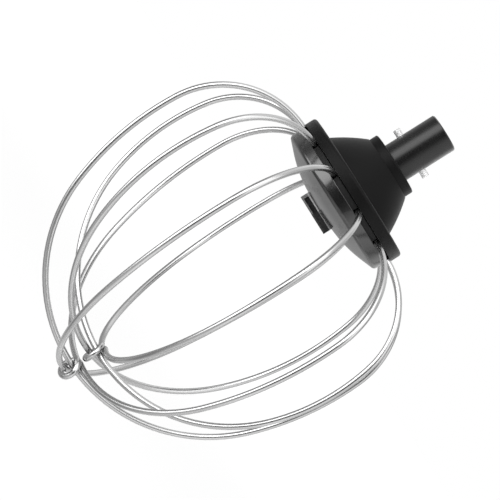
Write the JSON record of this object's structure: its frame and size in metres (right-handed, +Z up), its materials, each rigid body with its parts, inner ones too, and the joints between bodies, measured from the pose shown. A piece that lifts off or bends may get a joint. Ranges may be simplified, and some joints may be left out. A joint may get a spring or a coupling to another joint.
{
  "type": "stand mixer wire whisk",
  "caption": "Balloon whisk for a stand mixer: a pinned drive shaft, a conical plastic hub with a clip-on cap, and a cage of bent round wire loops that knot together below.",
  "frame": {"origin": "crossing of the drive shaft's axis and the cross pin's axis", "axes": "+Z up the drive shaft, away from the wire cage; X along the cross pin; the picture's near side is -Y"},
  "size_m": [0.1188, 0.1188, 0.1576],
  "materials": {
    "shaft_black": "satin black coating",
    "pin_steel": "bright drawn steel",
    "hub_black": "fine matt moulded",
    "cap_black": "gloss moulded",
    "wire_steel": "polished stainless wire"
  },
  "bodies": {
    "root": {"drive_shaft": "shaft_black", "drive_pin": "pin_steel", "hub": "hub_black", "retainer_cap": "cap_black", "outer_loop_low": "wire_steel", "outer_loop_mid": "wire_steel", "outer_loop_wrap": "wire_steel", "inner_loop_low": "wire_steel", "inner_loop_mid": "wire_steel", "inner_loop_wrap": "wire_steel"}
  },
  "joints": []
}
